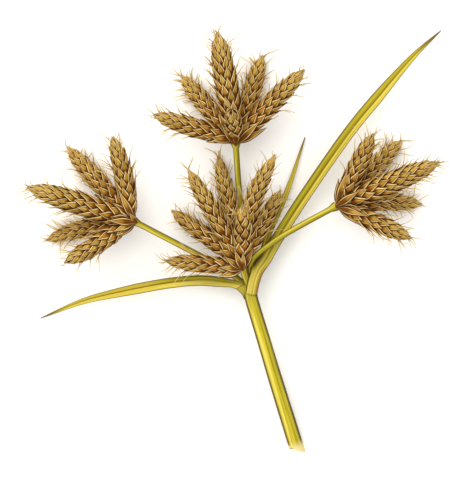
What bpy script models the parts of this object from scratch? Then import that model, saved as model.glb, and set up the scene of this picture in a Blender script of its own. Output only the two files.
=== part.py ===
# A cut flowering stem of sea clubrush, lying on a flat surface.
# One three-sided stem carries a central head of spikelets, three rays that each end in a
# head of their own, and three leafy bracts that clasp the stem where the rays leave it.
# Sizes are in millimetres and become metres when a mesh is made. +Z is up, the surface
# is Z = 0, and the stem runs from its cut end at -Y to the top head at +Y.

import math

import bmesh
import bpy
from mathutils import Vector

MM = 0.001
ROUTE_STEPS = 24
SMOOTH_ANGLE = 35.0

# Stem, from its cut end to the middle of the central head
STEM_RADIUS = 1.8
NODE_RADIUS = 1.6
STEM_RIDGE = 0.10
STALK_RADIUS = 0.8
STEM_SIDES = 15
STEM_ROUTE = [
    (15.8, -52.0, 1.65),
    (10.4, -34.6, 3.80),
    (6.9, -22.9, 5.20),
    (4.6, -15.2, 6.10),
    (3.7, -11.2, 6.60),
    (2.5, -7.8, 7.90),
    (2.0, -5.2, 9.80),
]
STEM_STATIONS = 34
NODE_Y = -12.6
STALK_Y = -10.9
CUT_SLANT = 0.80

# Seat of each head: a knob that the spikelets sit on
SEAT_RADIUS = 1.8
SEAT_NECK = 2.6
SEAT_DOME_RINGS = 3

# Rays, each a thin round stalk from the node to the seat of its head
RAY_RADIUS = 0.74
RAY_SIDES = 10
RAY_STATIONS = 20
RAYS = {
    "ray_left": [(1.7, -9.9, 5.5), (-4.2, -5.9, 5.2), (-11.7, -1.9, 6.2), (-25.3, 5.2, 9.0)],
    "ray_top": [(3.6, -9.5, 4.4), (2.5, 1.5, 2.8), (1.35, 11.7, 2.8), (0.85, 18.0, 5.2),
                (0.4, 24.8, 9.0)],
    "ray_right": [(4.6, -8.8, 6.0), (4.15, -6.4, 6.5), (5.1, -3.9, 8.0), (9.2, -0.6, 9.0),
                  (14.2, 2.65, 9.0), (25.6, 8.9, 9.0)],
}

# Bracts, each a blade folded on its keel: the fold is the rise of the edges for each
# millimetre of half width, and the first share of the length clasps the stem instead
BRACT_THICKNESS = 0.34
BRACT_TIP_HALF_WIDTH = 0.22
BRACT_FOLD = 0.34
BRACT_TAPER = 0.8
BRACT_COLUMNS = 4
CLASP_SHARE = 0.16
BRACTS = {
    "bract_long": {
        "route": [(4.2, -13.6, 9.0), (4.9, -10.2, 9.2), (6.0, -7.2, 8.3), (7.9, -4.5, 6.3),
                  (10.6, 0.3, 5.4), (17.75, 11.5, 5.4), (28.55, 27.0, 5.6),
                  (36.5, 36.75, 4.6), (44.8, 46.25, 2.9), (51.9, 52.9, 1.1)],
        "half_width": 1.47, "stations": 22, "wrap": 0.7, "taper_from": 0.72,
    },
    "bract_left": {
        "route": [(1.6, -11.7, 7.2), (-3.0, -10.2, 6.9), (-9.0, -9.75, 6.6), (-17.5, -10.6, 5.8),
                  (-30.15, -13.05, 4.2), (-38.5, -15.2, 2.8), (-48.4, -19.2, 0.9)],
        "half_width": 1.32, "stations": 17, "wrap": 0.5, "taper_from": 0.52,
    },
    "bract_short": {
        "route": [(5.9, -9.2, 4.4), (8.5, 1.6, 2.6), (13.4, 12.9, 1.0), (17.8, 26.1, 0.9)],
        "half_width": 0.85, "stations": 13, "wrap": 0.2, "taper_from": 0.45,
    },
}

# Spikelets: a spindle of four overlapping scales to the ring, each ring turned half a step
SCALES_PER_RING = 4
RING_PITCH = 1.55
SPIKELET_BASE_SHARE = 0.30
SPIKELET_TIP_SHARE = 0.20
SPIKELET_TAPER = 3.0
SPIKELET_WIDEST = 0.36
SCALE_LIFT_SHARE = 0.20
SCALE_OVERHANG = 0.25
LATTICE_TWIST = 0.06
FIRST_TURN = 0.125
SEAT_DISTANCE = 2.3

# Heads: the seat's middle, and each spikelet's tip, seat shift along +Y, radius and bow,
# which bends its middle sideways, to the left of the way from the seat to the tip
HEADS = {
    "left": {
        "seat": (-25.4, 5.3, 9.2),
        "tips": [
            (-30.3, 26.2, 12.8, 0.0, 2.5, -0.5),
            (-41.8, 23.7, 0.38, 0.0, 2.55, 0.0),
            (-51.6, 13.6, 14.5, 0.0, 3.0, 0.0),
            (-47.0, 0.3, 0.15, 0.0, 2.3, -0.8),
            (-42.3, -5.4, 12.8, 0.0, 2.5, 0.3),
        ],
    },
    "top": {
        "seat": (0.5, 25.2, 9.2),
        "tips": [
            (-20.0, 31.6, 11.5, 0.0, 2.5, 0.0),
            (-13.2, 41.6, 0.31, 0.0, 2.5, 0.0),
            (-4.2, 52.4, 13.5, 0.0, 3.1, 0.0),
            (7.2, 46.6, 0.23, 0.0, 2.55, 0.0),
            (17.5, 42.9, 12.8, 0.0, 2.6, 0.0),
            (-0.6, 33.0, 21.0, 0.0, 2.2, 0.0),
        ],
    },
    "centre": {
        "seat": (2.0, -5.0, 10.0),
        "tips": [
            (-17.0, -4.9, 11.5, -1.4, 2.3, 0.0),
            (-15.6, 7.6, 3.0, 0.0, 2.3, 0.0),
            (-11.5, 18.0, 14.6, 0.0, 2.35, 0.0),
            (-4.0, 21.4, 1.2, 0.0, 2.4, 0.0),
            (10.2, 21.6, 16.0, 0.0, 2.4, 1.7),
            (11.7, 12.8, 3.0, 0.0, 2.2, 0.0),
            (2.2, 9.0, 23.5, 0.0, 2.2, 0.0),
        ],
    },
    "right": {
        "seat": (26.0, 9.0, 9.2),
        "tips": [
            (34.8, 26.9, 12.8, 0.0, 2.45, 0.0),
            (42.0, 25.4, 0.2, 0.0, 2.45, 0.0),
            (51.3, 19.8, 14.5, 0.0, 2.9, 0.0),
            (47.0, 9.4, 0.24, 0.0, 2.35, 0.7),
            (44.3, 0.8, 12.2, 0.0, 2.45, 0.0),
        ],
    },
}

# Colours of the real plant as linear red, green and blue, with roughness
STEM_COLOUR = ((0.50, 0.45, 0.05, 1.0), 0.45)
LEAF_COLOUR = ((0.42, 0.40, 0.06, 1.0), 0.50)
HUSK_COLOUR = ((0.50, 0.27, 0.08, 1.0), 0.65)


def clearScene():
    for obj in list(bpy.data.objects):
        bpy.data.objects.remove(obj, do_unlink=True)


def catmullRom(before, start, end, after, share):
    square = share * share
    cube = square * share
    return 0.5 * (
        2.0 * start
        + (end - before) * share
        + (2.0 * before - 5.0 * start + 4.0 * end - after) * square
        + (3.0 * start - before - 3.0 * end + after) * cube
    )


def smoothRoute(route, stations):
    # Points spaced evenly along a smooth curve through the route's own points
    knots = [Vector(point) for point in route]
    knots = [2 * knots[0] - knots[1]] + knots + [2 * knots[-1] - knots[-2]]
    fine = []
    for index in range(1, len(knots) - 2):
        for step in range(ROUTE_STEPS):
            fine.append(catmullRom(*knots[index - 1:index + 3], step / ROUTE_STEPS))
    fine.append(knots[-2])
    lengths = [0.0]
    for start, end in zip(fine, fine[1:]):
        lengths.append(lengths[-1] + (end - start).length)
    points = []
    index = 0
    for station in range(stations):
        goal = lengths[-1] * station / (stations - 1)
        while index < len(lengths) - 2 and lengths[index + 1] < goal:
            index += 1
        share = (goal - lengths[index]) / (lengths[index + 1] - lengths[index])
        points.append(fine[index].lerp(fine[index + 1], share))
    return points


def axesAlong(points):
    # At each point: the way forward, the way to the right and the way up
    axes = []
    for index, point in enumerate(points):
        ahead = points[min(index + 1, len(points) - 1)]
        behind = points[max(index - 1, 0)]
        forward = (ahead - behind).normalized()
        right = forward.cross(Vector((0.0, 0.0, 1.0))).normalized()
        axes.append((forward, right, right.cross(forward)))
    return axes


def meshFromRings(name, rings):
    # A closed body: neighbouring rings joined by quads, the end rings filled
    bm = bmesh.new()
    loops = [[bm.verts.new(point * MM) for point in ring] for ring in rings]
    for lower, upper in zip(loops, loops[1:]):
        count = len(lower)
        for side in range(count):
            after = (side + 1) % count
            bm.faces.new((lower[side], lower[after], upper[after], upper[side]))
    bm.faces.new(list(reversed(loops[0])))
    bm.faces.new(loops[-1])
    bmesh.ops.recalc_face_normals(bm, faces=bm.faces)
    return finishMesh(name, bm)


def finishMesh(name, bm):
    mesh = bpy.data.meshes.new(name)
    bm.to_mesh(mesh)
    bm.free()
    mesh.shade_smooth()
    mesh.set_sharp_from_angle(angle=math.radians(SMOOTH_ANGLE))
    obj = bpy.data.objects.new(name, mesh)
    bpy.context.scene.collection.objects.link(obj)
    return obj


def colourPiece(obj, colour):
    material = bpy.data.materials.new(obj.name)
    material.use_nodes = True
    shader = material.node_tree.nodes["Principled BSDF"]
    shader.inputs["Base Color"].default_value = colour[0]
    shader.inputs["Roughness"].default_value = colour[1]
    shader.inputs["Metallic"].default_value = 0.0
    obj.data.materials.append(material)


def seatSwell(radius, fromSeat):
    # A stalk's radius, swelling to the seat's over the neck
    swell = max(1.0 - fromSeat / SEAT_NECK, 0.0)
    return radius + (SEAT_RADIUS - radius) * math.sin(0.5 * math.pi * swell) ** 2


def seatDome(centre, forward, right, up, sides):
    # Rings that close the seat with a round top
    rings = []
    for step in range(1, SEAT_DOME_RINGS + 1):
        angle = 0.5 * math.pi * step / (SEAT_DOME_RINGS + 0.5)
        middle = centre + forward * (SEAT_RADIUS * math.sin(angle))
        rings.append(roundRing(middle, right, up, SEAT_RADIUS * math.cos(angle), sides))
    return rings


def roundRing(middle, right, up, radius, sides):
    ring = []
    for side in range(sides):
        angle = 2.0 * math.pi * side / sides
        ring.append(middle + (right * math.cos(angle) + up * math.sin(angle)) * radius)
    return ring


def stemRadiusAt(point):
    # A little thinner towards the node, and above it the stalk of the central head
    if point.y < NODE_Y:
        cutY = STEM_ROUTE[0][1]
        return STEM_RADIUS + (NODE_RADIUS - STEM_RADIUS) * (point.y - cutY) / (NODE_Y - cutY)
    share = min((point.y - NODE_Y) / (STALK_Y - NODE_Y), 1.0)
    return NODE_RADIUS + (STALK_RADIUS - NODE_RADIUS) * share


def makeStem():
    points = smoothRoute(STEM_ROUTE, STEM_STATIONS)
    axes = axesAlong(points)
    rings = []
    for index, point in enumerate(points):
        forward, right, up = axes[index]
        radius = seatSwell(stemRadiusAt(point), (points[-1] - point).length)
        ridge = STEM_RIDGE if point.y < NODE_Y else 0.0
        slant = CUT_SLANT if index == 0 else 0.0
        ring = []
        for side in range(STEM_SIDES):
            angle = 2.0 * math.pi * side / STEM_SIDES
            reach = radius * (1.0 + ridge * math.cos(3.0 * (angle - math.pi / 2.0)))
            across = reach * math.cos(angle)
            ring.append(point + right * across + up * (reach * math.sin(angle))
                        - forward * (slant * across))
        rings.append(ring)
    rings += seatDome(points[-1], *axes[-1], STEM_SIDES)
    stem = meshFromRings("stem", rings)
    colourPiece(stem, STEM_COLOUR)


def makeRay(name, route):
    points = smoothRoute(route, RAY_STATIONS)
    axes = axesAlong(points)
    rings = []
    for index, point in enumerate(points):
        forward, right, up = axes[index]
        radius = seatSwell(RAY_RADIUS, (points[-1] - point).length)
        rings.append(roundRing(point, right, up, radius, RAY_SIDES))
    rings += seatDome(points[-1], *axes[-1], RAY_SIDES)
    ray = meshFromRings(name, rings)
    colourPiece(ray, STEM_COLOUR)


def bractHalfWidth(shape, share):
    taperFrom = shape["taper_from"]
    if share < taperFrom:
        return shape["half_width"]
    left = (1.0 - share) / (1.0 - taperFrom)
    spread = shape["half_width"] - BRACT_TIP_HALF_WIDTH
    return BRACT_TIP_HALF_WIDTH + spread * left ** BRACT_TAPER


def makeBract(name, shape):
    # A folded sheet of even thickness: the keel runs along the middle, and the base
    # arches over the stem
    points = smoothRoute(shape["route"], shape["stations"])
    axes = axesAlong(points)
    rings = []
    for index, point in enumerate(points):
        forward, right, up = axes[index]
        share = index / (len(points) - 1)
        halfWidth = bractHalfWidth(shape, share)
        clasp = max(1.0 - share / CLASP_SHARE, 0.0)
        lower = []
        upper = []
        for column in range(BRACT_COLUMNS + 1):
            across = 2.0 * column / BRACT_COLUMNS - 1.0
            fold = BRACT_FOLD * halfWidth * abs(across) * (1.0 - clasp)
            arch = -shape["wrap"] * across * across * clasp
            place = point + right * (across * halfWidth) + up * (fold + arch)
            upper.append(place + up * (0.5 * BRACT_THICKNESS))
            lower.append(place - up * (0.5 * BRACT_THICKNESS))
        rings.append(upper + lower[::-1])
    bract = meshFromRings(name, rings)
    colourPiece(bract, LEAF_COLOUR)


def spindle(share, radius):
    # Radius along a spikelet: a quick swell from the base, then a long taper
    if share < SPIKELET_WIDEST:
        rise = math.sin(0.5 * math.pi * share / SPIKELET_WIDEST)
        return radius * (SPIKELET_BASE_SHARE + (1.0 - SPIKELET_BASE_SHARE) * rise)
    fall = ((share - SPIKELET_WIDEST) / (1.0 - SPIKELET_WIDEST)) ** SPIKELET_TAPER
    return radius * (1.0 - (1.0 - SPIKELET_TIP_SHARE) * fall)


def latticePoints(base, tip, radius, bow, rings):
    # For each ring two rows of points: where the scales start, and where the tips of the
    # scales from two rings below end, a little further out and further on
    forward = (tip - base).normalized()
    right = forward.cross(Vector((0.0, 0.0, 1.0))).normalized()
    up = right.cross(forward)
    length = (tip - base).length * (1.0 - 0.5 / rings)

    def axisAt(share):
        return base + forward * (length * share) - right * (bow * math.sin(math.pi * share))

    starts = []
    ends = []
    for ring in range(rings + 1):
        share = ring / rings
        outer = spindle(share, radius)
        inner = outer * (1.0 - SCALE_LIFT_SHARE)
        onward = min(share + SCALE_OVERHANG / rings, 1.0)
        startRow = []
        endRow = []
        for scale in range(SCALES_PER_RING):
            turn = (scale + 0.5 * (ring % 2)) / SCALES_PER_RING + FIRST_TURN
            angle = 2.0 * math.pi * turn + LATTICE_TWIST * ring
            outward = right * math.cos(angle) + up * math.sin(angle)
            startRow.append(axisAt(share) + outward * inner)
            endRow.append(axisAt(onward) + outward * outer)
        starts.append(startRow)
        ends.append(endRow)
    return starts, ends


def makeSpikelet(name, base, tip, radius, bow):
    # Scale by scale: two faces that meet on the scale's keel, and two that step down
    # from its tip to the scale above
    rings = round((tip - base).length / RING_PITCH)
    starts, ends = latticePoints(base, tip, radius, bow, rings)
    bm = bmesh.new()
    low = [[bm.verts.new(point * MM) for point in row] for row in starts]
    high = [None] + [[bm.verts.new(point * MM) for point in row] for row in ends[1:]]
    foot = bm.verts.new(base * MM)
    apex = bm.verts.new(tip * MM)
    for ring in range(-1, rings):
        for scale in range(SCALES_PER_RING):
            # A scale's side corners lie one ring on, half a step to either side
            left = (scale - 1 + ring % 2) % SCALES_PER_RING
            right = (scale + ring % 2) % SCALES_PER_RING
            leftPoint = low[ring + 1][left]
            rightPoint = low[ring + 1][right]
            if ring == rings - 1:
                bm.faces.new((low[ring][scale], rightPoint, leftPoint))
                bm.faces.new((leftPoint, rightPoint, apex))
                continue
            tipPoint = high[ring + 2][scale]
            seat = low[ring + 2][scale]
            if ring >= 0:
                bm.faces.new((low[ring][scale], rightPoint, tipPoint))
                bm.faces.new((low[ring][scale], tipPoint, leftPoint))
            else:
                bm.faces.new((leftPoint, rightPoint, tipPoint))
                bm.faces.new((rightPoint, leftPoint, foot))
            bm.faces.new((tipPoint, rightPoint, seat))
            bm.faces.new((tipPoint, seat, leftPoint))
    bmesh.ops.recalc_face_normals(bm, faces=bm.faces)
    spikelet = finishMesh(name, bm)
    colourPiece(spikelet, HUSK_COLOUR)


def makeHead(name, head):
    for number, (x, y, z, shift, radius, bow) in enumerate(head["tips"], start=1):
        seat = Vector(head["seat"]) + Vector((0.0, shift, 0.0))
        tip = Vector((x, y, z))
        base = seat + (tip - seat).normalized() * SEAT_DISTANCE
        makeSpikelet(f"spikelet_{name}_{number}", base, tip, radius, bow)


def main():
    clearScene()
    makeStem()
    for name, route in RAYS.items():
        makeRay(name, route)
    for name, shape in BRACTS.items():
        makeBract(name, shape)
    for name, head in HEADS.items():
        makeHead(name, head)


main()
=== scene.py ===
import math
import random

import bmesh
import bpy
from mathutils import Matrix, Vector


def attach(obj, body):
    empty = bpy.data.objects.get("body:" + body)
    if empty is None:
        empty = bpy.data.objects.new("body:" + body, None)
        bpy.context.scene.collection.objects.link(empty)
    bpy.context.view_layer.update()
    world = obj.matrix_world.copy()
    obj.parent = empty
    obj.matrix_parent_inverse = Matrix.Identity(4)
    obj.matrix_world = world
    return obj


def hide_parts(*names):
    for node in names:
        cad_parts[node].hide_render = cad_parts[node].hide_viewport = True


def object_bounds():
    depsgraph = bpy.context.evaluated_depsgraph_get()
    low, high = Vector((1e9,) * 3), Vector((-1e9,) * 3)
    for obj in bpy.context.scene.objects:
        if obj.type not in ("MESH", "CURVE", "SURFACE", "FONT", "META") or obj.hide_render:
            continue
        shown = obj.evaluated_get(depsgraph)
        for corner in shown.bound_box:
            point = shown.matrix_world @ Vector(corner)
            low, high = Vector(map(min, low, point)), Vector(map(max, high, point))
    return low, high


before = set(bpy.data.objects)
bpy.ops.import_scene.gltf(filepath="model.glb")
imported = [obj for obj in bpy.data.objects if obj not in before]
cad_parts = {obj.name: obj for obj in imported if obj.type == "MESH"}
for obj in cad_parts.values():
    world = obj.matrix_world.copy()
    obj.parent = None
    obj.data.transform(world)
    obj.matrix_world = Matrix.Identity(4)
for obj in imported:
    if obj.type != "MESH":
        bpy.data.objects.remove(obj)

cadLow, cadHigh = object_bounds()
mm = 0.001


# Shared measures and small helpers

def mixed(first, second, share):
    return first + (second - first) * share


def eased(value, low, high):
    # 0 below low, 1 above high, smooth between
    share = min(max((value - low) / (high - low), 0.0), 1.0)
    return share * share * (3.0 - 2.0 * share)


def curveBetween(before, start, end, after, share):
    square = share * share
    cube = square * share
    return 0.5 * (
        2.0 * start
        + (end - before) * share
        + (2.0 * before - 5.0 * start + 4.0 * end - after) * square
        + (3.0 * start - before - 3.0 * end + after) * cube
    )


def smoothRoute(route, stations):
    # Evenly spaced points in metres on a smooth curve through a route given in millimetres
    knots = [Vector(point) * mm for point in route]
    knots = [2 * knots[0] - knots[1]] + knots + [2 * knots[-1] - knots[-2]]
    stepsPerKnot = 24
    fine = []
    for index in range(1, len(knots) - 2):
        for step in range(stepsPerKnot):
            fine.append(curveBetween(*knots[index - 1:index + 3], step / stepsPerKnot))
    fine.append(knots[-2])
    lengths = [0.0]
    for start, end in zip(fine, fine[1:]):
        lengths.append(lengths[-1] + (end - start).length)
    points = []
    index = 0
    for station in range(stations):
        goal = lengths[-1] * station / (stations - 1)
        while index < len(lengths) - 2 and lengths[index + 1] < goal:
            index += 1
        share = (goal - lengths[index]) / (lengths[index + 1] - lengths[index])
        points.append(fine[index].lerp(fine[index + 1], share))
    return points


def axesAlong(points):
    # Forward, right and up at each point
    axes = []
    for index in range(len(points)):
        ahead = points[min(index + 1, len(points) - 1)]
        behind = points[max(index - 1, 0)]
        forward = (ahead - behind).normalized()
        right = forward.cross(Vector((0.0, 0.0, 1.0))).normalized()
        axes.append((forward, right, right.cross(forward)))
    return axes


def newSheet():
    # A mesh in the making with two UV maps: place on the surface, and marks of one's own
    bm = bmesh.new()
    place = bm.loops.layers.uv.new("place")
    marks = bm.loops.layers.uv.new("marks")
    return bm, place, marks


def addGrid(bm, columns, rows):
    # Each corner comes back with its share across, 0 to 1, and its share along, 0 to 1
    grid = bmesh.ops.create_grid(bm, x_segments=columns, y_segments=rows, size=1.0)
    corners = [(vert, 0.5 + 0.5 * vert.co.x, 0.5 + 0.5 * vert.co.y) for vert in grid["verts"]]
    faces = {face for vert in grid["verts"] for face in vert.link_faces}
    return corners, faces


def markFaces(corners, faces, place, marks, pair):
    shares = {vert: (across, along) for vert, across, along in corners}
    for face in faces:
        for loop in face.loops:
            loop[place].uv = shares[loop.vert]
            loop[marks].uv = pair


def sweepTube(bm, place, marks, points, sides, reachAt, pair=(0.5, 0.5)):
    # A grid rolled round the points and closed at its seam
    axes = axesAlong(points)
    corners, faces = addGrid(bm, sides, len(points) - 1)
    markFaces(corners, faces, place, marks, pair)
    for vert, across, along in corners:
        station = round(along * (len(points) - 1))
        forward, right, up = axes[station]
        angle = 2.0 * math.pi * across
        reach = reachAt(along, angle)
        vert.co = points[station] + (right * math.cos(angle) + up * math.sin(angle)) * reach
    return [vert for vert, across, along in corners]


def closeEnds(bm):
    edges = [edge for edge in bm.edges if edge.is_boundary]
    return bmesh.ops.holes_fill(bm, edges=edges, sides=0)["faces"]


def finishPiece(bm, name, materials, nodes=(), sharp=50.0):
    for vert in bm.verts:
        vert.co.z = max(vert.co.z, 0.02 * mm)
    bmesh.ops.recalc_face_normals(bm, faces=bm.faces)
    mesh = bpy.data.meshes.new(name)
    bm.to_mesh(mesh)
    bm.free()
    mesh.shade_smooth()
    mesh.set_sharp_from_angle(angle=math.radians(sharp))
    for material in materials:
        mesh.materials.append(material)
    piece = bpy.data.objects.new(name, mesh)
    bpy.context.scene.collection.objects.link(piece)
    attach(piece, "root")
    if nodes:
        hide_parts(*nodes)
    return piece


# Material building blocks

def plug(tree, socket, value):
    if isinstance(value, bpy.types.NodeSocket):
        tree.links.new(value, socket)
    else:
        socket.default_value = value


def calc(tree, how, first, second=0.0):
    node = tree.nodes.new("ShaderNodeMath")
    node.operation = how
    plug(tree, node.inputs[0], first)
    plug(tree, node.inputs[1], second)
    return node.outputs[0]


def spread(tree, value, times, plus):
    node = tree.nodes.new("ShaderNodeMath")
    node.operation = "MULTIPLY_ADD"
    plug(tree, node.inputs[0], value)
    node.inputs[1].default_value = times
    node.inputs[2].default_value = plus
    return node.outputs[0]


def fade(tree, value, low, high, fromValue=0.0, toValue=1.0):
    node = tree.nodes.new("ShaderNodeMapRange")
    node.interpolation_type = "SMOOTHSTEP"
    plug(tree, node.inputs["Value"], value)
    plug(tree, node.inputs["From Min"], low)
    plug(tree, node.inputs["From Max"], high)
    plug(tree, node.inputs["To Min"], fromValue)
    plug(tree, node.inputs["To Max"], toValue)
    return node.outputs["Result"]


def tint(tree, factor, first, second, how="MIX"):
    node = tree.nodes.new("ShaderNodeMix")
    node.data_type = "RGBA"
    node.blend_type = how
    plug(tree, node.inputs[0], factor)
    plug(tree, node.inputs[6], first)
    plug(tree, node.inputs[7], second)
    return node.outputs[2]


def gradient(tree, value, stops):
    node = tree.nodes.new("ShaderNodeValToRGB")
    elements = node.color_ramp.elements
    while len(elements) < len(stops):
        elements.new(0.5)
    for element, (position, colour) in zip(elements, stops):
        element.position = position
        element.color = colour
    plug(tree, node.inputs[0], value)
    return node.outputs[0]


def readPair(tree, name):
    node = tree.nodes.new("ShaderNodeUVMap")
    node.uv_map = name
    parts = tree.nodes.new("ShaderNodeSeparateXYZ")
    tree.links.new(node.outputs[0], parts.inputs[0])
    return parts.outputs[0], parts.outputs[1]


def joined(tree, x, y, z=0.0):
    node = tree.nodes.new("ShaderNodeCombineXYZ")
    plug(tree, node.inputs[0], x)
    plug(tree, node.inputs[1], y)
    plug(tree, node.inputs[2], z)
    return node.outputs[0]


def grainOf(tree, vector, scale=1.0, detail=3.0, roughness=0.55):
    node = tree.nodes.new("ShaderNodeTexNoise")
    plug(tree, node.inputs["Vector"], vector)
    plug(tree, node.inputs["Scale"], scale)
    plug(tree, node.inputs["Detail"], detail)
    plug(tree, node.inputs["Roughness"], roughness)
    return node.outputs["Fac"]


def objectPlace(tree):
    return tree.nodes.new("ShaderNodeTexCoord").outputs["Object"]


def newFinish(name, specular=0.3):
    material = bpy.data.materials.new(name)
    material.use_nodes = True
    tree = material.node_tree
    shader = tree.nodes["Principled BSDF"]
    shader.inputs["Specular IOR Level"].default_value = specular
    return material, tree, shader


def setFinish(tree, shader, colour, roughness, relief, depth):
    bump = tree.nodes.new("ShaderNodeBump")
    bump.inputs["Strength"].default_value = 1.0
    bump.inputs["Distance"].default_value = depth
    plug(tree, bump.inputs["Height"], relief)
    plug(tree, shader.inputs["Base Color"], colour)
    plug(tree, shader.inputs["Roughness"], roughness)
    tree.links.new(bump.outputs[0], shader.inputs["Normal"])


huskLook = {
    "streakDark": (0.144, 0.045, 0.003, 1.0),
    "streakMid": (0.375, 0.178, 0.018, 1.0),
    "streakPale": (0.620, 0.380, 0.070, 1.0),
    "foot": (0.104, 0.026, 0.002, 1.0),
    "straw": (0.560, 0.400, 0.080, 1.0),
    "russet": (0.400, 0.140, 0.018, 1.0),
    "margin": (0.820, 0.640, 0.290, 1.0),
    "rim": (0.058, 0.017, 0.001, 1.0),
    "streaksAcross": 9.0,
    "streaksAlong": 1.1,
}


def makeHusk():
    # Golden brown and finely streaked, with cream margins and a dark rim
    look = huskLook
    material, tree, shader = newFinish("husk", 0.02)
    across, along = readPair(tree, "place")
    luck, height = readPair(tree, "marks")
    side = calc(tree, "ABSOLUTE", spread(tree, across, 2.0, -1.0))
    streaks = grainOf(tree, joined(
        tree,
        calc(tree, "MULTIPLY", across, look["streaksAcross"]),
        calc(tree, "MULTIPLY", along, look["streaksAlong"]),
        calc(tree, "MULTIPLY", luck, 37.0)), 1.0, 4.0, 0.65)
    colour = gradient(tree, streaks, [
        (0.34, look["streakDark"]), (0.47, look["streakMid"]), (0.62, look["streakPale"])])
    # Some scales are browner than others, and each is darker at its foot where it leaves the axis: partly its
    # own redder base, partly painted shade under the scale that covers it
    brown = fade(tree, luck, 0.3, 1.0, 0.0, 0.35)
    colour = tint(tree, brown, colour, look["streakDark"])
    otherLuck = calc(tree, "FRACT", calc(tree, "MULTIPLY", luck, 7.3))
    colour = tint(tree, fade(tree, otherLuck, 0.4, 1.0, 0.0, 0.45), colour, look["straw"])
    colour = tint(tree, fade(tree, height, 0.50, 0.05, 0.0, 0.35), colour, look["russet"])
    colour = tint(tree, fade(tree, height, 0.15, 0.9, 0.0, 0.34), colour, look["straw"])
    # Painted shade at the foot, where the scale below covers it, over the scale's own redder base
    footAndShadeTo = fade(tree, height, 0.0, 1.0, 0.66, 0.48)
    foot = fade(tree, along, footAndShadeTo, calc(tree, "ADD", footAndShadeTo, -0.24), 0.0, 0.9)
    colour = tint(tree, foot, colour, look["foot"])
    # Margins and rim take more of the width towards the tip
    marginFrom = fade(tree, along, 0.5, 0.9, 0.50, 0.20)
    marginTo = calc(tree, "ADD", marginFrom, 0.12)
    uneven = calc(tree, "ADD", side, spread(tree, streaks, 0.24, -0.12))
    inner = fade(tree, uneven, calc(tree, "ADD", marginFrom, -0.22), marginFrom, 0.0, 0.80)
    colour = tint(tree, inner, colour, look["foot"])
    edge = fade(tree, uneven, marginFrom, marginTo)
    edge = calc(tree, "MULTIPLY", edge, fade(tree, along, 0.2, 0.5, 0.4, 0.95))
    edge = calc(tree, "MULTIPLY", edge, fade(tree, luck, 0.0, 1.0, 1.0, 0.6))
    colour = tint(tree, edge, colour, look["margin"])
    rimFrom = fade(tree, along, 0.5, 0.9, 0.71, 0.48)
    rim = fade(tree, side, rimFrom, calc(tree, "ADD", rimFrom, 0.10))
    rim = calc(tree, "MULTIPLY", rim, fade(tree, height, 0.70, 0.84, 1.0, 0.45))
    colour = tint(tree, rim, colour, look["rim"])
    roughness = fade(tree, streaks, 0.2, 0.8, 0.66, 0.48)
    setFinish(tree, shader, colour, roughness, streaks, 0.00010)
    return material


def makeHuskCore():
    material, tree, shader = newFinish("huskCore", 0.02)
    grain = grainOf(tree, objectPlace(tree), 900.0, 2.0)
    colour = gradient(tree, grain, [
        (0.35, (0.070, 0.022, 0.003, 1.0)), (0.65, (0.170, 0.070, 0.012, 1.0))])
    setFinish(tree, shader, colour, 0.8, grain, 0.0001)
    return material


def makeHairFinish():
    material, tree, shader = newFinish("hair", 0.05)
    across, along = readPair(tree, "place")
    colour = gradient(tree, along, [
        (0.0, (0.370, 0.220, 0.060, 1.0)), (0.35, (0.510, 0.355, 0.125, 1.0)),
        (1.0, (0.640, 0.490, 0.220, 1.0))])
    grain = grainOf(tree, objectPlace(tree), 2500.0, 2.0)
    setFinish(tree, shader, colour, 0.5, grain, 0.00002)
    return material


# Stem and rays: yellow-green with fine ribs along them, with a painted highlight band along the top, left of
# centre, and painted shade darkening both flanks and the underside

stemLook = {
    "bright": (0.680, 0.570, 0.095, 1.0),
    "yellow": (0.480, 0.390, 0.018, 1.0),
    "green": (0.310, 0.262, 0.009, 1.0),
    "olive": (0.160, 0.124, 0.006, 1.0),
    "edge": (0.067, 0.043, 0.007, 1.0),
    "cream": (0.730, 0.600, 0.270, 1.0),
    "straw": (0.620, 0.480, 0.100, 1.0),
    "ochre": (0.580, 0.440, 0.045, 1.0),
    "dry": (0.134, 0.089, 0.037, 1.0),
    "brown": (0.231, 0.098, 0.012, 1.0),
}


def makeStemFinish(name, ribs, ring, creamEnd=0.0):
    look = stemLook
    material, tree, shader = newFinish(name, 0.08)
    across, along = readPair(tree, "place")
    streaks = grainOf(tree, joined(
        tree, calc(tree, "MULTIPLY", across, ribs), calc(tree, "MULTIPLY", along, 3.0)), 1.0, 4.0, 0.6)
    drift = spread(tree, streaks, 0.10, -0.05)
    colour = gradient(tree, calc(tree, "ADD", across, drift), [
        (position, look[shade]) for position, shade in ring])
    colour = tint(tree, fade(tree, streaks, 0.48, 0.36, 0.0, 0.55), colour, look["olive"])
    colour = tint(tree, fade(tree, streaks, 0.54, 0.66, 0.0, 0.4), colour, look["bright"])
    if creamEnd:
        colour = tint(tree, fade(tree, along, creamEnd, 0.0), colour, look["cream"])
    roughness = fade(tree, streaks, 0.2, 0.8, 0.50, 0.36)
    setFinish(tree, shader, colour, roughness, streaks, 0.00015)
    return material


def makePith():
    material, tree, shader = newFinish("pith", 0.2)
    grain = grainOf(tree, objectPlace(tree), 1800.0, 4.0, 0.7)
    colour = gradient(tree, grain, [
        (0.35, (0.570, 0.500, 0.230, 1.0)), (0.55, (0.830, 0.780, 0.550, 1.0))])
    setFinish(tree, shader, colour, 0.7, grain, 0.0002)
    return material


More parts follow.
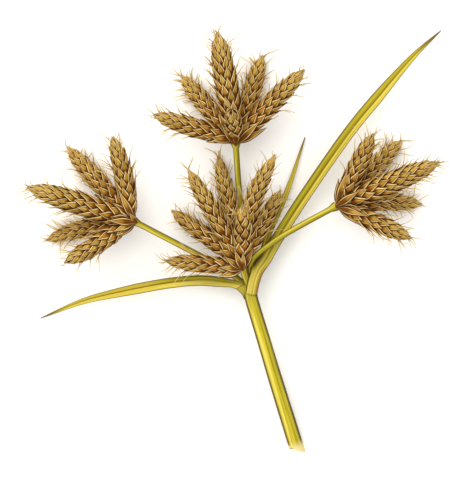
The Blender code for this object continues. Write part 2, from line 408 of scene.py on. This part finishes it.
def makeLeafFinish(name, shape):
    # One half of the fold olive as painted shade, the other bright as a painted highlight, with a dark line of
    # painted crease shade on the keel
    look = stemLook
    material, tree, shader = newFinish(name, 0.08)
    across, along = readPair(tree, "place")
    streaks = grainOf(tree, joined(
        tree, calc(tree, "MULTIPLY", across, 9.0), calc(tree, "MULTIPLY", along, 3.0)), 1.0, 4.0, 0.6)
    drift = spread(tree, streaks, 0.06, -0.03)
    colour = gradient(tree, calc(tree, "ADD", across, drift), [
        (position, look[shade]) for position, shade in shape["bandsWithPaintedLight"]])
    colour = tint(tree, fade(tree, streaks, 0.48, 0.36, 0.0, 0.55), colour, look["olive"])
    colour = tint(tree, fade(tree, streaks, 0.53, 0.64, 0.0, 0.4), colour, look["bright"])
    pale = gradient(tree, streaks, [
        (0.32, look["green"]), (0.42, look["yellow"]), (0.52, look["straw"]), (0.66, look["cream"])])
    lowerHalf = fade(tree, across, 0.56, 0.46)
    strip = calc(tree, "MULTIPLY", lowerHalf, fade(tree, along, shape["stripTint"], 0.08))
    foot = fade(tree, along, shape["baseTint"], 0.3 * shape["baseTint"])
    foot = calc(tree, "MULTIPLY", foot, fade(tree, across, 0.40, 0.62, 1.0, 0.45))
    # Ochre towards the tip, except along the keel line
    offKeel = fade(tree, calc(tree, "ABSOLUTE", calc(tree, "SUBTRACT", across, 0.56)), 0.02, 0.08)
    far = calc(tree, "MULTIPLY", fade(tree, along, 0.25, 0.55, 0.0, shape["farTint"]), offKeel)
    colour = tint(tree, far, colour, look["ochre"])
    colour = tint(tree, calc(tree, "MULTIPLY", calc(tree, "MAXIMUM", strip, foot), 0.85), colour, pale)
    if shape["lobe"]:
        # The inside of the left half is in the shade of the ray
        shade = calc(tree, "MULTIPLY", fade(tree, across, 0.36, 0.12), fade(tree, along, 0.07, 0.095))
        shade = calc(tree, "MULTIPLY", shade, fade(tree, along, 0.25, 0.15))
        colour = tint(tree, calc(tree, "MULTIPLY", shade, 0.85), colour, look["edge"])
    worn = calc(tree, "MULTIPLY", fade(tree, across, 0.66, 0.90), fade(tree, along, 0.15, 0.07))
    colour = tint(tree, calc(tree, "MULTIPLY", worn, shape["wornEdge"]), colour, look["brown"])
    if shape["flank"]:
        # A dark line, and olive below it, where the blade runs out on the side of the stem
        x, y, slope = shape["flank"]
        spot = tree.nodes.new("ShaderNodeSeparateXYZ")
        tree.links.new(objectPlace(tree), spot.inputs[0])
        above = calc(tree, "ADD", spread(tree, spot.outputs[0], -slope, (slope * x - y) * mm), spot.outputs[1])
        lower = calc(tree, "MULTIPLY", fade(tree, above, 0.08 * mm, -0.08 * mm), fade(tree, along, 0.16, 0.10))
        colour = tint(tree, calc(tree, "MULTIPLY", lower, 0.75), colour, look["green"])
        line = fade(tree, calc(tree, "ABSOLUTE", above), 0.13 * mm, 0.04 * mm)
        line = calc(tree, "MULTIPLY", line, fade(tree, along, 0.14, 0.10))
        colour = tint(tree, calc(tree, "MULTIPLY", line, 0.9), colour, look["edge"])
    colour = tint(tree, fade(tree, along, 0.008, 0.002, 0.0, 0.6), colour, look["edge"])
    colour = tint(tree, fade(tree, across, 0.085, 0.04), colour, look["edge"])
    colour = tint(tree, fade(tree, across, 0.915, 0.96), colour, look["edge"])
    colour = tint(tree, fade(tree, along, shape["tipFrom"], 0.97, 0.0, 0.85), colour, look["dry"])
    roughness = fade(tree, streaks, 0.2, 0.8, 0.52, 0.38)
    setFinish(tree, shader, colour, roughness, streaks, 0.00015)
    return material


husk = makeHusk()
huskCore = makeHuskCore()
hairFinish = makeHairFinish()
# Colour round the stem: the bright band is a painted highlight, the dark edge lines on both flanks and the olive
# underneath are painted shade
stemRingWithPaintedLight = [
    (0.055, "edge"), (0.08, "olive"), (0.105, "green"), (0.135, "yellow"), (0.17, "yellow"),
    (0.205, "green"), (0.235, "yellow"), (0.275, "yellow"), (0.31, "bright"), (0.35, "bright"),
    (0.39, "yellow"), (0.405, "yellow"), (0.43, "olive"), (0.45, "edge"), (0.60, "olive"),
    (0.75, "green"), (0.90, "olive"), (1.0, "edge"),
]
# The rays carry the same painted highlight band and painted shade on their flanks and underneath
rayRingWithPaintedLight = [
    (0.08, "edge"), (0.11, "olive"), (0.17, "green"), (0.25, "yellow"), (0.31, "bright"),
    (0.37, "yellow"), (0.40, "olive"), (0.43, "edge"), (0.60, "olive"), (0.75, "green"), (1.0, "edge"),
]
stemFinish = makeStemFinish("stemGreen", 34.0, stemRingWithPaintedLight, 0.05)
rayFinish = makeStemFinish("rayGreen", 18.0, rayRingWithPaintedLight)
pith = makePith()
print("materials made")


# Where each spikelet sits, in millimetres as on the model: its tip, how far its seat is moved
# along Y, its radius, how far its middle is bent sideways, and how large its scales are
headLayout = {
    "left": {
        "seat": (-25.4, 5.3, 9.2),
        "tips": [
            (-30.3, 26.2, 12.8, 0.0, 2.5, -0.5, 1.0),
            (-41.8, 23.7, 0.38, 0.0, 2.55, 0.0, 1.0),
            (-51.6, 13.6, 14.5, 0.0, 3.0, 0.0, 1.0),
            (-47.0, 0.3, 0.15, 0.0, 2.3, -0.8, 1.0),
            (-42.3, -5.4, 12.8, 0.0, 2.5, 0.3, 1.0),
        ],
    },
    "top": {
        "seat": (0.5, 25.2, 9.2),
        "tips": [
            (-20.0, 31.6, 11.5, 0.0, 2.5, 0.0, 1.0),
            (-13.2, 41.6, 0.31, 0.0, 2.5, 0.0, 1.0),
            (-4.2, 52.4, 13.5, 0.0, 3.1, 0.0, 1.0),
            (7.2, 46.6, 0.23, 0.0, 2.55, 0.0, 1.0),
            (17.5, 42.9, 12.8, 0.0, 2.6, 0.0, 1.0),
            (-0.6, 33.0, 21.0, 0.0, 2.2, 0.0, 1.4),
        ],
    },
    "centre": {
        "seat": (2.0, -5.0, 10.0),
        "tips": [
            (-17.0, -4.9, 11.5, -1.4, 2.3, 0.0, 1.0),
            (-15.6, 7.6, 3.0, 0.0, 2.3, 0.0, 1.0),
            (-11.5, 18.0, 14.6, 0.0, 2.35, 0.0, 1.0),
            (-4.0, 21.4, 1.2, 0.0, 2.4, 0.0, 1.0),
            (10.2, 21.6, 16.0, 0.0, 2.4, 1.7, 1.0),
            (11.7, 12.8, 3.0, 0.0, 2.2, 0.0, 1.0),
            (2.2, 9.0, 23.5, 0.0, 2.2, 0.0, 1.4),
        ],
    },
    "right": {
        "seat": (26.0, 9.0, 9.2),
        "tips": [
            (34.8, 26.9, 12.8, 0.0, 2.45, 0.0, 1.0),
            (42.0, 25.4, 0.2, 0.0, 2.45, 0.0, 1.0),
            (51.3, 19.8, 14.5, 0.0, 2.9, 0.0, 1.0),
            (47.0, 9.4, 0.24, 0.0, 2.35, 0.7, 1.0),
            (44.3, 0.8, 12.2, 0.0, 2.45, 0.0, 1.0),
        ],
    },
}

spikeletShape = {
    "seatDistance": 1.7,
    "baseShare": 0.58,
    "tipShare": 0.30,
    "widest": 0.36,
    "taper": 3.0,
    "coreShare": 0.66,
    "pitch": 1.50,
    "lengthAtBase": 5.6,
    "lengthAtTip": 3.9,
    "width": 3.35,
    "widthAtTip": 2.55,
    "wideAtBase": 1.15,
    "closing": 0.16,
    "cover": 0.94,
    "innerShare": 0.72,
    "keelRise": 0.20,
    "edgeTuck": 0.12,
    "thickness": 0.09,
    "firstStart": -1.4,
}

hairShape = {
    "length": 3.0,
    "radius": 0.155,
    "share": 0.76,
    "shareOnTop": 0.12,
    "pairShare": 0.36,
    "beyond": ((2.6, 2.6), (2.6, 2.6), (-0.25, 0.3)),
    "shareAtViewer": 0.3,
    "sides": 3,
    "points": 6,
}


def spindle(share):
    shape = spikeletShape
    if share < shape["widest"]:
        rise = math.sin(0.5 * math.pi * max(share, 0.0) / shape["widest"])
        return mixed(shape["baseShare"], 1.0, rise)
    fall = ((min(share, 1.0) - shape["widest"]) / (1.0 - shape["widest"])) ** shape["taper"]
    return mixed(1.0, shape["tipShare"], fall)


def scaleOutline(along):
    # Half width of a scale for its greatest: broad below the middle, a drawn-out point
    if along < 0.4:
        return 0.70 + 0.30 * math.sin(0.5 * math.pi * along / 0.4)
    return max(1.0 - ((along - 0.4) / 0.6) ** 1.5, 0.035)


def axisAt(spike, onward):
    bend = math.sin(math.pi * min(max(onward / spike["length"], 0.0), 1.0))
    return spike["base"] + spike["forward"] * onward - spike["right"] * (spike["bow"] * bend)


def growScale(bm, place, marks, spike, start, angle, length, width, luck):
    shape = spikeletShape
    share = max(start, 0.0) / spike["length"]
    length = min(length, spike["length"] * 1.01 - start)
    middle = spike["radius"] * spindle((start + 0.4 * length) / spike["length"])
    halfWidth = min(0.5 * width, 1.3 * middle)
    flare = luck.uniform(0.03, 0.26) * mm * eased(math.sin(angle), -0.7, 0.1) * (1.0 - eased(share, 0.45, 0.8))
    lean = luck.uniform(-0.07, 0.07)
    tall = luck.uniform(0.85, 1.15)
    corners, faces = addGrid(bm, 4, 5)
    markFaces(corners, faces, place, marks, (luck.random(), share))
    for vert, across, along in corners:
        side = 2.0 * across - 1.0
        onward = start + length * along
        part = onward / spike["length"]
        outer = spike["radius"] * spindle(part) * (1.0 - 0.72 * eased(part, 0.89, 1.0))
        keel = shape["keelRise"] * tall * mm * (1.0 - abs(side) ** 1.4) * eased(along, 0.0, 0.35)
        keel *= 1.0 - 0.7 * eased(along, 0.75, 1.0)
        reach = outer * mixed(shape["innerShare"], 1.0, along) + keel
        reach -= shape["edgeTuck"] * mm * side * side
        reach += flare * eased(along, 0.55, 1.0)
        turn = angle + lean * along + side * halfWidth * scaleOutline(along) / max(middle, 0.0006)
        outward = spike["right"] * math.cos(turn) + spike["up"] * math.sin(turn)
        vert.co = axisAt(spike, onward) + outward * reach
    tipTurn = angle + lean
    outward = spike["right"] * math.cos(tipTurn) + spike["up"] * math.sin(tipTurn)
    tip = [vert.co.copy() for vert, across, along in corners if along > 0.99 and abs(across - 0.5) < 0.01]
    return tip[0], outward


def growHair(bm, place, marks, root, direction, bend, length, luck):
    shape = hairShape
    wave = luck.uniform(-0.5, 0.5)
    points = []
    for step in range(shape["points"]):
        share = step / (shape["points"] - 1)
        curl = 0.62 * share * share + 0.34 * wave * math.sin(2.0 * math.pi * share)
        point = root + direction * (length * share) + bend * (length * curl)
        for axis, (below, above) in enumerate(shape["beyond"]):
            point[axis] = min(max(point[axis], cadLow[axis] - below * mm), cadHigh[axis] + above * mm)
        points.append(point)
    points[0] = root - direction * (0.5 * mm)
    sweepTube(bm, place, marks, points, shape["sides"],
              lambda along, angle: shape["radius"] * mm * (1.0 - 0.50 * along), (luck.random(), 1.0))


def growCore(bm, place, marks, spike):
    count = 12
    points = [axisAt(spike, spike["length"] * 0.97 * index / count) for index in range(count + 1)]
    sweepTube(bm, place, marks, points, 12, lambda along, angle: (
        spike["radius"] * spikeletShape["coreShare"] * spindle(along * 0.97)
        * (1.0 - 0.80 * eased(along, 0.75, 1.0))))


def layOut(head, tipRow):
    x, y, z, shift, radius, bow, scaleSize = tipRow
    seat = (Vector(head["seat"]) + Vector((0.0, shift, 0.0))) * mm
    tip = Vector((x, y, z)) * mm
    forward = (tip - seat).normalized()
    right = forward.cross(Vector((0.0, 0.0, 1.0))).normalized()
    base = seat + forward * (spikeletShape["seatDistance"] * mm)
    return {
        "base": base, "tip": tip, "forward": forward, "right": right, "up": right.cross(forward),
        "length": (tip - base).length, "radius": radius * mm, "bow": bow * mm,
        "scaleSize": scaleSize,
    }


def makeSpikelet(name, head, tipRow, seed):
    luck = random.Random(seed)
    spike = layOut(head, tipRow)
    shape = spikeletShape
    bm, place, marks = newSheet()
    tips = []
    firstStart = shape["firstStart"] * mm
    lastStart = spike["length"] - shape["lengthAtTip"] * mm
    rings = max(round((lastStart - firstStart) / (shape["pitch"] * spike["scaleSize"] * mm)), 2)
    for ring in range(rings + 1):
        share = ring / rings
        length = mixed(shape["lengthAtBase"] * spike["scaleSize"], shape["lengthAtTip"], share) * mm
        start = mixed(firstStart, lastStart, share * (1.0 + shape["closing"] * (1.0 - share)))
        girth = 2.0 * math.pi * spike["radius"] * spindle((start + 0.4 * length) / spike["length"])
        width = mixed(shape["width"], shape["widthAtTip"], share) * mm * spike["scaleSize"] ** 0.6
        perRing = max(round(shape["cover"] * girth / width), 4)
        width *= mixed(shape["wideAtBase"], 1.0, eased(share, 0.0, 0.3))
        for index in range(perRing):
            turn = (index + 0.5 * (ring % 2) + 0.25) / perRing + 0.25
            angle = 2.0 * math.pi * turn + luck.uniform(-0.05, 0.05)
            tip, outward = growScale(
                bm, place, marks, spike, start + luck.uniform(-0.12, 0.12) * mm, angle,
                length * luck.uniform(0.94, 1.06), width, luck)
            tips.append((tip, outward, share))
    bmesh.ops.recalc_face_normals(bm, faces=bm.faces)
    bmesh.ops.solidify(bm, geom=bm.faces[:], thickness=shape["thickness"] * mm)
    scaleFaces = len(bm.faces)
    growCore(bm, place, marks, spike)
    bm.faces.ensure_lookup_table()
    for face in bm.faces[scaleFaces:]:
        face.material_index = 1
    beforeHairs = len(bm.faces)
    for tip, outward, height in tips:
        share = mixed(hairShape["share"], hairShape["shareOnTop"], eased(outward.z, 0.3, 0.8))
        share *= mixed(0.5, 1.0, eased(height, 0.15, 0.5)) * (1.0 - 0.3 * eased(height, 0.75, 1.0))
        if spike["forward"].z > 0.6:
            share *= hairShape["shareAtViewer"]
        if height < 0.10 or luck.random() > share:
            continue
        for twin in range(2 if luck.random() < hairShape["pairShare"] else 1):
            sideways = spike["forward"].cross(outward)
            lift = luck.uniform(0.25, 1.1)
            direction = (spike["forward"] + outward * lift + sideways * luck.uniform(-0.35, 0.35)).normalized()
            bend = outward * luck.uniform(-0.7, 0.9) + sideways * luck.uniform(-0.6, 0.6)
            length = hairShape["length"] * luck.uniform(0.6, 1.15) * mm
            growHair(bm, place, marks, tip, direction, bend, length, luck)
    bm.faces.ensure_lookup_table()
    for face in bm.faces[beforeHairs:]:
        face.material_index = 2
    bmesh.ops.remove_doubles(bm, verts=bm.verts, dist=1e-8)
    for face in closeEnds(bm):
        face.material_index = 1
    finishPiece(bm, f"{name}_scales", [husk, huskCore, hairFinish], [name], 60.0)


seed = 11
for headName, head in headLayout.items():
    for number, tipRow in enumerate(head["tips"], start=1):
        seed += 1
        makeSpikelet(f"spikelet_{headName}_{number}", head, tipRow, seed)
    print("spikelets made:", headName)


# Stem: three-sided with rounded corners, cut aslant, with the stalk of the central head

stemShape = {
    "route": [
        (15.8, -52.0, 1.65), (10.4, -34.6, 3.80), (6.9, -22.9, 5.20), (4.6, -15.2, 6.10),
        (3.7, -11.2, 6.60), (2.5, -7.8, 7.90), (2.0, -5.2, 9.80),
    ],
    "radius": 1.8,
    "nodeRadius": 1.6,
    "ridge": 0.10,
    "ribDepth": 0.035,
    "ribs": 18,
    "stalkRadius": 0.8,
    "seatRadius": 1.25,
    "neck": 1.8,
    "slant": 0.80,
    "stations": 90,
    "sides": 54,
}


def makeStem():
    shape = stemShape
    points = smoothRoute(shape["route"], shape["stations"])
    total = sum((b - a).length for a, b in zip(points, points[1:]))
    bm, place, marks = newSheet()

    def reachAt(along, angle):
        point = points[round(along * (len(points) - 1))]
        share = eased(point.y / mm, -12.9, -10.6)
        radius = mixed(shape["radius"], shape["nodeRadius"], eased(point.y / mm, -52.0, -12.6))
        radius = mixed(radius, shape["stalkRadius"], share)
        swell = max(1.0 - (1.0 - along) * total / (shape["neck"] * mm), 0.0)
        radius = mixed(radius, shape["seatRadius"], math.sin(0.5 * math.pi * swell) ** 2)
        ridge = shape["ridge"] * (1.0 - share) * math.cos(3.0 * (angle - math.pi / 2.0))
        rib = shape["ribDepth"] * (1.0 - 0.6 * share) * math.cos(shape["ribs"] * angle)
        return (radius * (1.0 + ridge) + rib * (1.0 - swell)) * mm

    verts = sweepTube(bm, place, marks, points, shape["sides"], reachAt)
    # The cut: the first ring is pushed back on its right side
    forward, right, up = axesAlong(points)[0]
    for vert in verts:
        if abs((vert.co - points[0]).dot(forward)) < 1e-6:
            vert.co -= forward * (shape["slant"] * (vert.co - points[0]).dot(right))
    bmesh.ops.remove_doubles(bm, verts=bm.verts, dist=1e-7)
    caps = closeEnds(bm)
    caps.sort(key=lambda face: face.calc_center_median().y)
    wall = bmesh.ops.inset_individual(bm, faces=[caps[0]], thickness=0.16 * mm, depth=0.0)
    hollow = bmesh.ops.inset_individual(bm, faces=[caps[0]], thickness=0.5 * mm, depth=-0.12 * mm)
    for face in [caps[0]] + wall["faces"] + hollow["faces"]:
        face.material_index = 1
    finishPiece(bm, "stem_ribbed", [stemFinish, pith], ["stem"], 40.0)


makeStem()
print("stem made")


# Rays: thin round stalks that start inside the node and end in the seat of a head

rayShape = {
    "radius": 0.74,
    "seatRadius": 1.25,
    "neck": 2.2,
    "ribDepth": 0.018,
    "ribs": 7,
    "sides": 28,
    "stations": 60,
}
rayRoutes = {
    "left": [(3.3, -11.2, 6.4), (1.7, -9.9, 5.5), (-4.2, -5.9, 5.2), (-11.7, -1.9, 6.2),
             (-25.3, 5.2, 9.0)],
    "top": [(3.9, -11.2, 6.2), (3.6, -9.5, 4.4), (2.5, 1.5, 2.8), (1.35, 11.7, 2.8),
            (0.85, 18.0, 5.2), (0.4, 24.8, 9.0)],
    "right": [(4.2, -11.0, 6.6), (4.6, -8.8, 6.0), (4.15, -6.4, 6.5), (5.1, -3.9, 8.0),
              (9.2, -0.6, 9.0), (14.2, 2.65, 9.0), (25.6, 8.9, 9.0)],
}


def makeRay(name):
    shape = rayShape
    points = smoothRoute(rayRoutes[name], shape["stations"])
    total = sum((b - a).length for a, b in zip(points, points[1:]))
    bm, place, marks = newSheet()

    def reachAt(along, angle):
        swell = max(1.0 - (1.0 - along) * total / (shape["neck"] * mm), 0.0)
        radius = mixed(shape["radius"], shape["seatRadius"], math.sin(0.5 * math.pi * swell) ** 2)
        return (radius + shape["ribDepth"] * math.cos(shape["ribs"] * angle)) * mm

    sweepTube(bm, place, marks, points, shape["sides"], reachAt)
    bmesh.ops.remove_doubles(bm, verts=bm.verts, dist=1e-7)
    closeEnds(bm)
    finishPiece(bm, f"ray_{name}_ribbed", [rayFinish], [f"ray_{name}"], 40.0)


for rayName in rayRoutes:
    makeRay(rayName)
print("rays made")


# A few larger scales at the foot of each head: where each starts and ends, and its half width
footScales = {
    "left": [
        ((-24.2, 4.6, 10.1), (-26.4, 7.4, 11.8), 0.8),
        ((-25.3, 5.6, 10.2), (-24.7, 13.3, 11.0), 0.9),
        ((-24.8, 4.9, 10.4), (-29.0, 13.2, 13.0), 1.1),
        ((-24.8, 4.7, 10.4), (-30.4, 2.4, 12.8), 1.0),
        ((-24.5, 4.8, 10.0), (-29.3, 0.8, 11.0), 0.9),
        ((-24.6, 4.8, 10.6), (-31.8, 5.3, 13.6), 1.1),
    ],
    "top": [
        ((0.2, 25.1, 10.2), (-8.5, 25.8, 10.8), 0.9),
        ((0.5, 24.4, 10.2), (8.2, 28.4, 11.0), 1.0),
        ((0.6, 24.2, 10.3), (6.8, 30.4, 12.8), 1.0),
        ((0.2, 24.2, 10.3), (-3.4, 29.6, 13.2), 0.9),
        ((0.4, 24.0, 10.3), (0.7, 29.4, 15.0), 1.1),
    ],
    "centre": [
        ((2.2, -6.9, 11.0), (-3.9, -8.9, 11.4), 1.25),
        ((1.9, -6.9, 11.3), (-2.6, -3.6, 13.6), 1.0),
        ((2.3, -6.9, 11.0), (5.0, -1.4, 13.0), 1.0),
        ((2.0, -7.1, 11.2), (0.0, -1.6, 15.2), 0.9),
        ((1.9, -7.0, 11.2), (-3.9, -6.4, 13.0), 1.0),
        ((2.3, -7.2, 11.0), (2.3, -2.4, 14.6), 0.85),
    ],
    "right": [
        ((25.7, 8.8, 10.1), (26.1, 15.8, 11.0), 0.9),
        ((25.5, 8.7, 10.3), (28.5, 18.2, 12.8), 1.1),
        ((25.8, 8.7, 10.1), (32.0, 3.8, 11.2), 0.9),
        ((25.5, 8.6, 10.4), (33.4, 6.2, 13.4), 1.0),
        ((25.4, 8.7, 10.5), (31.5, 12.8, 14.2), 1.1),
    ],
}


def makeFootScales(name, rows, seed):
    luck = random.Random(seed)
    bm, place, marks = newSheet()
    for start, end, halfWidth in rows:
        start = Vector(start) * mm
        way = Vector(end) * mm - start
        right = way.cross(Vector((0.0, 0.0, 1.0))).normalized()
        up = right.cross(way).normalized()
        corners, faces = addGrid(bm, 6, 8)
        markFaces(corners, faces, place, marks, (luck.random(), 0.35))
        for vert, across, along in corners:
            side = 2.0 * across - 1.0
            rise = 0.35 * (1.0 - abs(side) ** 1.5) + 0.25 * math.sin(math.pi * along)
            vert.co = start + way * along + up * (rise * mm)
            narrow = mixed(0.4, 1.0, eased(along, 0.0, 0.35))
            vert.co += right * (side * halfWidth * narrow * scaleOutline(along) * mm)
    bmesh.ops.recalc_face_normals(bm, faces=bm.faces)
    bmesh.ops.solidify(bm, geom=bm.faces[:], thickness=spikeletShape["thickness"] * mm)
    finishPiece(bm, f"foot_scales_{name}", [husk], (), 60.0)


for offset, (headName, rows) in enumerate(footScales.items()):
    makeFootScales(headName, rows, 70 + offset)
print("foot scales made")


# Bracts: folded blades that clasp the stem at their base and end in a long point

# The bands across each blade carry painted light: the olive half and the olive line on the keel are painted
# shade, the bright bands are painted highlights
bractShape = {
    "long": {
        "route": [(4.25, -13.6, 8.1), (4.9, -10.2, 8.9), (6.0, -7.2, 8.3), (7.9, -4.5, 6.3),
                  (10.6, 0.3, 5.4), (17.75, 11.5, 5.4), (28.55, 27.0, 5.6),
                  (36.5, 36.75, 4.6), (44.8, 46.25, 2.9), (51.9, 52.9, 1.1)],
        "halfWidth": 1.47, "baseHalfWidth": 1.50, "skirt": 0.0, "wrap": 1.1, "taperFrom": 0.72,
        "keel": 0.22, "stations": 110,
        "bandsWithPaintedLight": [(0.0, "edge"), (0.05, "olive"), (0.12, "green"), (0.28, "yellow"), (0.40, "green"),
                  (0.50, "olive"), (0.54, "olive"), (0.60, "yellow"), (0.68, "bright"),
                  (0.80, "yellow"), (0.86, "straw"), (0.94, "straw"), (0.975, "olive"), (1.0, "edge")],
        "baseTint": 0.17, "stripTint": 0.20, "farTint": 0.25, "tipFrom": 0.88, "flank": None, "wornEdge": 0.8,
        "lobe": 0.75,
    },
    "left": {
        "route": [(4.3, -12.6, 7.0), (2.6, -11.6, 7.6), (0.4, -10.7, 7.3), (-3.0, -10.2, 6.9),
                  (-9.0, -9.75, 6.6), (-17.5, -10.6, 5.8), (-30.15, -13.05, 4.2),
                  (-38.5, -15.2, 2.8), (-48.4, -19.2, 0.9)],
        "halfWidth": 1.32, "baseHalfWidth": 0.85, "skirt": 2.0, "wrap": 0.4, "taperFrom": 0.54,
        "keel": 0.0, "stations": 100,
        "bandsWithPaintedLight": [(0.0, "edge"), (0.05, "yellow"), (0.15, "bright"), (0.40, "bright"), (0.48, "yellow"),
                  (0.52, "olive"), (0.60, "olive"), (0.72, "green"), (0.88, "olive"), (1.0, "edge")],
        "baseTint": 0.13, "stripTint": 0.40, "farTint": 0.70, "tipFrom": 0.84, "flank": (1.3, -11.4, 0.625), "wornEdge": 0.0,
        "lobe": 0.0,
    },
    "short": {
        "route": [(5.9, -9.2, 4.4), (8.5, 1.6, 2.6), (13.4, 12.9, 1.0), (17.8, 26.1, 0.9)],
        "halfWidth": 0.85, "baseHalfWidth": 0.85, "skirt": 0.0, "wrap": 0.2, "taperFrom": 0.45,
        "keel": 0.1, "stations": 60,
        "bandsWithPaintedLight": [(0.0, "edge"), (0.08, "olive"), (0.20, "yellow"), (0.42, "bright"), (0.50, "olive"),
                  (0.58, "yellow"), (0.88, "bright"), (0.95, "olive"), (1.0, "edge")],
        "baseTint": 0.05, "stripTint": 0.10, "farTint": 0.30, "tipFrom": 0.80, "flank": None, "wornEdge": 0.0,
        "lobe": 0.0,
    },
}
leafShape = {"thickness": 0.26, "tipHalfWidth": 0.10, "fold": 0.34, "taper": 0.8, "clasp": 0.16, "columns": 12}


def makeBract(name, shape):
    points = smoothRoute(shape["route"], shape["stations"])
    axes = axesAlong(points)
    bm, place, marks = newSheet()
    corners, faces = addGrid(bm, leafShape["columns"], len(points) - 1)
    markFaces(corners, faces, place, marks, (0.5, 0.5))
    for vert, across, along in corners:
        station = round(along * (len(points) - 1))
        forward, right, up = axes[station]
        side = 2.0 * across - 1.0
        left = min((1.0 - along) / (1.0 - shape["taperFrom"]), 1.0)
        halfWidth = mixed(shape["baseHalfWidth"], shape["halfWidth"], eased(along, 0.04, 0.2))
        halfWidth = mixed(leafShape["tipHalfWidth"], halfWidth, left ** leafShape["taper"])
        clasp = max(1.0 - along / leafShape["clasp"], 0.0)
        fold = leafShape["fold"] * halfWidth * abs(side - shape["keel"]) * (1.0 - clasp)
        bulge = 0.10 * halfWidth * math.sin(math.pi * abs(side)) * (1.0 - clasp)
        arch = -shape["wrap"] * side * side * clasp
        skirt = shape["skirt"] * max(-side, 0.0) * max(1.0 - along / 0.10, 0.0) ** 1.4
        # The left half is wider just above the node, and dips under the ray there
        lobe = shape["lobe"] * max(-side, 0.0) ** 2 * eased(along, 0.06, 0.10) * (1.0 - eased(along, 0.12, 0.22))
        reach = side * halfWidth - skirt - lobe
        vert.co = points[station] + right * (reach * mm)
        vert.co += (up * (fold + bulge + arch - 0.8 * skirt - 1.5 * lobe) - forward * (0.50 * skirt)) * mm
    bmesh.ops.recalc_face_normals(bm, faces=bm.faces)
    if sum(face.normal.z for face in bm.faces) < 0.0:
        bmesh.ops.reverse_faces(bm, faces=bm.faces)
    bmesh.ops.solidify(bm, geom=bm.faces[:], thickness=leafShape["thickness"] * mm)
    finish = makeLeafFinish(f"leaf{name.capitalize()}", shape)
    finishPiece(bm, f"bract_{name}_blade", [finish], [f"bract_{name}"], 50.0)


for bractName, shape in bractShape.items():
    makeBract(bractName, shape)
print("bracts made")


# Floor, light and camera

studio = {
    "floorHalf": 3.0,
    "floorColour": (0.99, 0.99, 0.985, 1.0),
    "skyStrength": 1.10,
    "skyColour": (1.0, 0.990, 0.970, 1.0),
    "keyColour": (1.0, 0.970, 0.910),
    "keyPlace": (-0.50, 0.55, 0.90),
    "keySize": 1.7,
    "keyPower": 11.2,
    "lens": 900.0,
    "frameHeight": 0.120,
    "aim": (0.25, 0.375, 8.0),
}


def makeStudio():
    bm = bmesh.new()
    bmesh.ops.create_grid(bm, x_segments=1, y_segments=1, size=studio["floorHalf"])
    mesh = bpy.data.meshes.new("floor")
    bm.to_mesh(mesh)
    bm.free()
    floor = bpy.data.objects.new("floor", mesh)
    material, tree, shader = newFinish("floorPaint", 0.2)
    shader.inputs["Base Color"].default_value = studio["floorColour"]
    shader.inputs["Roughness"].default_value = 0.8
    mesh.materials.append(material)
    bpy.context.scene.collection.objects.link(floor)

    world = bpy.data.worlds.new("sky")
    world.use_nodes = True
    sky = world.node_tree.nodes["Background"]
    sky.inputs["Color"].default_value = studio["skyColour"]
    sky.inputs["Strength"].default_value = studio["skyStrength"]
    bpy.context.scene.world = world

    light = bpy.data.lights.new("key", "AREA")
    light.shape = "DISK"
    light.size = studio["keySize"]
    light.energy = studio["keyPower"]
    light.color = studio["keyColour"]
    lamp = bpy.data.objects.new("key", light)
    lamp.location = Vector(studio["keyPlace"])
    lamp.rotation_mode = "QUATERNION"
    lamp.rotation_quaternion = (-lamp.location).to_track_quat("-Z", "Y")
    bpy.context.scene.collection.objects.link(lamp)


def makeCamera():
    data = bpy.data.cameras.new("camera")
    data.lens = studio["lens"]
    camera = bpy.data.objects.new("camera", data)
    aim = Vector(studio["aim"]) * mm
    distance = studio["frameHeight"] * data.lens / data.sensor_width
    camera.location = aim + Vector((0.0, 0.0, distance))
    camera.rotation_euler = (0.0, 0.0, 0.0)
    data.clip_end = 20.0
    bpy.context.scene.collection.objects.link(camera)
    bpy.context.scene.camera = camera


makeStudio()
makeCamera()
bpy.context.scene.view_settings.view_transform = "Standard"
print("studio made")
